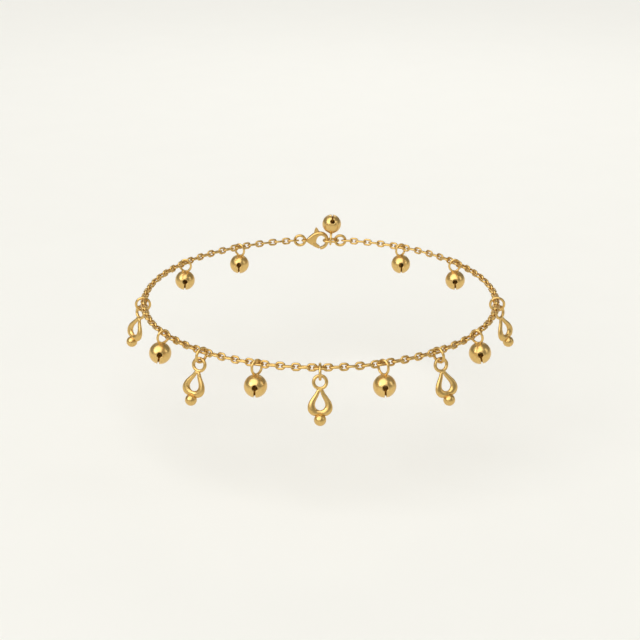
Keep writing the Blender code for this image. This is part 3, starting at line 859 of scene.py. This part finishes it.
def gold(name):
    """Gold of one slot, made the first time that it is asked for."""
    if name in bpy.data.materials:
        return bpy.data.materials[name]
    group = bpy.data.node_groups.get("Gold finish") or gold_finish()
    colours = bpy.context.scene.anklet_colours
    colour_name, polish, scratches = GOLDS[name]
    material = bpy.data.materials.new(name)
    material.use_nodes = True
    nodes, links = material.node_tree.nodes, material.node_tree.links
    shader = nodes["Principled BSDF"]
    fill(shader, {"Metallic": 1.0, "Specular Tint": (*colours.edge, 1.0)})
    finish = nodes.new("ShaderNodeGroup")
    finish.node_tree = group
    fill(finish, {"Gold": (*getattr(colours, colour_name), 1.0), "Polish": polish,
                  "Tarnish and shade": (*colours.tarnish_and_shade, 1.0), "Scratches": scratches})
    place = nodes.new("ShaderNodeTexCoord")
    links.new(place.outputs["Object"], finish.inputs["Place"])
    for key, socket in (("shade_tarnish_mask", "Shade and tarnish"), ("tone", "Tone")):
        mask = nodes.new("ShaderNodeAttribute")
        mask.attribute_name = key
        links.new(mask.outputs["Fac"], finish.inputs[socket])
    bump = nodes.new("ShaderNodeBump")
    fill(bump, {"Strength": 0.35, "Distance": SCRATCH_DEPTH})
    links.new(finish.outputs["Height"], bump.inputs["Height"])
    links.new(finish.outputs["Colour"], shader.inputs["Base Color"])
    links.new(finish.outputs["Roughness"], shader.inputs["Roughness"])
    links.new(bump.outputs["Normal"], shader.inputs["Normal"])
    return material


class ANKLET_OT_chain(bpy.types.Operator):
    """Link the whole chain from one clasp ring round the front to the other"""

    bl_idname = "anklet.chain"
    bl_label = "Chain"

    def execute(self, context):
        links = chain_links(context.scene.anklet_chain)
        show_rigid("chain", links, gold("chain_gold"))
        return {"FINISHED"}


class ANKLET_OT_bells(bpy.types.Operator):
    """Hang the eight bells on the chain and stand the ninth at the clasp"""

    bl_idname = "anklet.bells"
    bl_label = "Bells"

    def execute(self, context):
        chain, sizes = context.scene.anklet_chain, context.scene.anklet_bells
        material = gold("bell_gold")
        for name, angle, lean, swing, loop_turn, facing, hole_up in BELLS:
            made = bell(sizes, chain.held / 2, sizes.hang, sizes.loop_width, loop_turn,
                        facing - angle, hole_up)
            show_rigid(name, placed(made, charm_seat(chain, angle, lean, swing)), material)
        clasp, layout = clasp_of(context.scene)
        made = bell(sizes, clasp.link_wire / 2, CLASP_BELL_HANG, CLASP_BELL_LOOP_WIDTH, 0,
                    CLASP_BELL_FACING, CLASP_BELL_HOLE_UP)
        hook_far = layout["neck"] + clasp.body_length
        made = placed(made, moved(hook_far + CLASP_BELL_SIDE_GAP + sizes.loop_wire / 2,
                                  layout["y"] - (clasp.link_width - clasp.link_wire) / 2, 0),
                      turned("Y", 180 + CLASP_BELL_LEAN), turned("X", CLASP_BELL_TIP_BACK))
        show_rigid("clasp_bell", made, material)
        return {"FINISHED"}


class ANKLET_OT_drops(bpy.types.Operator):
    """Hang the five drops on their jump rings"""

    bl_idname = "anklet.drops"
    bl_label = "Drops and jump rings"

    def execute(self, context):
        chain, sizes = context.scene.anklet_chain, context.scene.anklet_drops
        material = gold("drop_gold")
        ring_top = chain.held / 2 + HANG_GAP + sizes.ring_wire
        ring_centre = ring_top - sizes.ring_radius
        eye_top = ring_centre - sizes.ring_radius + sizes.ring_wire + HANG_GAP
        eye_centre = eye_top + sizes.eye_wire - sizes.eye_radius
        ring = wire_ring(sizes.ring_radius, sizes.ring_radius, sizes.ring_wire)
        pear = drop(sizes)
        for number, angle, lean, swing, turn in DROPS:
            seat = charm_seat(chain, angle, lean, swing)
            made = placed(ring, seat, moved(0, 0, ring_centre), turned("Z", 90))
            show_rigid("drop_ring_" + number, made, material)
            made = placed(pear, seat, moved(0, 0, eye_centre), turned("Z", turn))
            show_rigid("drop_" + number, made, material)
        return {"FINISHED"}


class ANKLET_OT_clasp_rings(bpy.types.Operator):
    """Set the two rings that end the chain and the oval link at the hook"""

    bl_idname = "anklet.clasp_rings"
    bl_label = "Clasp rings and link"

    def execute(self, context):
        sizes, layout = clasp_of(context.scene)
        material = gold("ring_gold")
        ring = wire_ring(sizes.ring_radius, sizes.ring_radius, sizes.ring_wire)
        for name, side in (("clasp_ring_left", -1), ("clasp_ring_right", 1)):
            show_rigid(name, placed(ring, moved(side * layout["ring"], layout["y"], 0)), material)
        link = wire_ring(sizes.link_length / 2, sizes.link_width / 2, sizes.link_wire,
                         straight=sizes.link_length - sizes.link_width)
        made = placed(link, moved(layout["link"], layout["y"], 0), turned("X", 90))
        show_rigid("clasp_link", made, material)
        return {"FINISHED"}


class ANKLET_OT_clasp(bpy.types.Operator):
    """Make the clasp's body with its eye, lever slot and pin"""

    bl_idname = "anklet.clasp"
    bl_label = "Clasp body"

    def execute(self, context):
        sizes, layout = clasp_of(context.scene)
        material = gold("clasp_gold")
        here = moved(0, layout["y"], 0)
        hook = placed(clasp_hook(layout, sizes), here)
        slot_start = layout["neck"] + SLOT_FROM_NECK
        slot_half = sizes.lever_thickness / 2 + LEVER_GAP
        slot = box_surface((slot_start, -slot_half, -sizes.body_height),
                           (slot_start + SLOT_LENGTH, slot_half, sizes.body_height))
        mesh = cut(mesh_of("clasp_hook", hook), mesh_of("slot", placed(slot, here)))
        pivot = clasp_points(PIVOT[None], layout, sizes)[0]
        pin = rod_surface(sizes.pin_radius, sizes.body_thickness / 2, PIN_DOME)
        eye = wire_ring(sizes.eye_radius, sizes.eye_radius, sizes.eye_wire, around=56, sides=14)
        extras = joined(placed(pin, here, moved(pivot[0], 0, pivot[1])),
                        placed(eye, here, moved(layout["eye"], 0, 0), turned("X", 90)))
        piece = show("clasp_body", mesh, "anklet", material)
        extras_mesh = mesh_of("clasp_extras", extras)
        extras_mesh.materials.append(material)
        added = bpy.data.objects.new("clasp_extras", extras_mesh)
        context.scene.collection.objects.link(added)
        with context.temp_override(active_object=piece, selected_editable_objects=[piece, added]):
            bpy.ops.object.join()
        return {"FINISHED"}


class ANKLET_OT_lever(bpy.types.Operator):
    """Make the lever that opens the clasp's gate"""

    bl_idname = "anklet.lever"
    bl_label = "Clasp lever"

    def execute(self, context):
        sizes, layout = clasp_of(context.scene)
        mesh = lever_mesh(layout, sizes)
        mesh.transform(Matrix.Translation((0, layout["y"], 0)))
        show("clasp_lever", mesh, "lever", gold("clasp_gold"))
        return {"FINISHED"}


def floor_material(tint):
    """Matt cream paint with a very faint mottle."""
    material = bpy.data.materials.new("studio_floor")
    material.use_nodes = True
    nodes, links = material.node_tree.nodes, material.node_tree.links
    shader = nodes["Principled BSDF"]
    fill(shader, {"Roughness": 0.9, "Specular IOR Level": 0.1})
    place = nodes.new("ShaderNodeTexCoord")
    mottle = nodes.new("ShaderNodeTexNoise")
    fill(mottle, {"Scale": 60.0})
    links.new(place.outputs["Object"], mottle.inputs["Vector"])
    mix = nodes.new("ShaderNodeMix")
    mix.data_type = "RGBA"
    mix.inputs[6].default_value = (*tint, 1.0)
    mix.inputs[7].default_value = (*(0.985 * value for value in tint), 1.0)
    links.new(mottle.outputs["Fac"], mix.inputs["Factor"])
    links.new(mix.outputs[2], shader.inputs["Base Color"])
    return material


class ANKLET_OT_stage(bpy.types.Operator):
    """Lay the floor, hang the soft lights and set the camera"""

    bl_idname = "anklet.stage"
    bl_label = "Stage, lights and camera"

    def execute(self, context):
        scene = context.scene
        mesh = bpy.data.meshes.new("floor")
        corners = [(FLOOR_REACH * x, FLOOR_REACH * y, FLOOR_LEVEL)
                   for x, y in ((-1, -1), (1, -1), (1, 1), (-1, 1))]
        mesh.from_pydata(corners, [], [(0, 1, 2, 3)])
        mesh.materials.append(floor_material(scene.anklet_colours.floor))
        floor = bpy.data.objects.new("floor", mesh)
        scene.collection.objects.link(floor)
        for name, place, size, radiance in LIGHTS:
            lamp = bpy.data.lights.new(name, "AREA")
            lamp.shape = "RECTANGLE"
            lamp.size, lamp.size_y = size
            lamp.energy = radiance * math.pi * size[0] * size[1]
            holder = bpy.data.objects.new(name, lamp)
            holder.location = place
            holder.rotation_euler = (-Vector(place)).to_track_quat("-Z", "Y").to_euler()
            scene.collection.objects.link(holder)
        sun = bpy.data.lights.new("window_light", "SUN")
        sun.energy = WINDOW_STRENGTH
        sun.angle = math.radians(WINDOW_SPREAD)
        sun_holder = bpy.data.objects.new("window_light", sun)
        sun_holder.rotation_euler = (*np.radians(WINDOW_TILT), 0)
        scene.collection.objects.link(sun_holder)
        world = bpy.data.worlds.new("studio")
        world.use_nodes = True
        backdrop = world.node_tree.nodes["Background"]
        fill(backdrop, {"Color": (*ROOM_COLOUR, 1.0), "Strength": ROOM_STRENGTH})
        scene.world = world
        camera = bpy.data.cameras.new("camera")
        camera.sensor_fit = "HORIZONTAL"
        camera.sensor_width = 36.0
        camera.lens = CAMERA_LENS
        camera.clip_start = 0.01
        camera.clip_end = 50.0
        eye = bpy.data.objects.new("camera", camera)
        eye.location = CAMERA_PLACE
        eye.rotation_euler = (math.radians(90 - CAMERA_DOWN), 0, math.radians(CAMERA_TURN))
        scene.collection.objects.link(eye)
        scene.camera = eye
        scene.view_settings.view_transform = "Standard"
        return {"FINISHED"}


class ANKLET_PT_panel(bpy.types.Panel):
    """Sizes, colours and steps of the anklet."""

    bl_idname = "ANKLET_PT_panel"
    bl_label = "Chain anklet"
    bl_space_type = "VIEW_3D"
    bl_region_type = "UI"
    bl_category = "Anklet"

    def draw(self, context):
        layout = self.layout
        for key in SIZE_GROUPS:
            group = getattr(context.scene, key)
            box = layout.box()
            box.label(text=group.bl_rna.description.rstrip("."))
            for field in group.bl_rna.properties.keys():
                if field not in ("rna_type", "name"):
                    box.prop(group, field)
        for step in STEPS:
            layout.operator(step.bl_idname)


STEPS = (ANKLET_OT_chain, ANKLET_OT_bells, ANKLET_OT_drops, ANKLET_OT_clasp_rings, ANKLET_OT_clasp,
         ANKLET_OT_lever, ANKLET_OT_stage)
SIZE_GROUPS = {
    "anklet_chain": AnkletChainSizes,
    "anklet_bells": AnkletBellSizes,
    "anklet_drops": AnkletDropSizes,
    "anklet_clasp": AnkletClaspSizes,
    "anklet_colours": AnkletColours,
}


def register():
    """Registers the sizes, the steps and the panel."""
    for key, group in SIZE_GROUPS.items():
        bpy.utils.register_class(group)
        setattr(bpy.types.Scene, key, bpy.props.PointerProperty(type=group))
    for step in STEPS:
        bpy.utils.register_class(step)
    bpy.utils.register_class(ANKLET_PT_panel)


def unregister():
    """Takes them away again."""
    bpy.utils.unregister_class(ANKLET_PT_panel)
    for step in reversed(STEPS):
        bpy.utils.unregister_class(step)
    for key, group in SIZE_GROUPS.items():
        delattr(bpy.types.Scene, key)
        bpy.utils.unregister_class(group)


def main():
    """Runs every step in order."""
    register()
    bpy.ops.anklet.chain()
    bpy.ops.anklet.bells()
    bpy.ops.anklet.drops()
    bpy.ops.anklet.clasp_rings()
    bpy.ops.anklet.clasp()
    bpy.ops.anklet.lever()
    bpy.ops.anklet.stage()


if __name__ == "__main__":
    main()
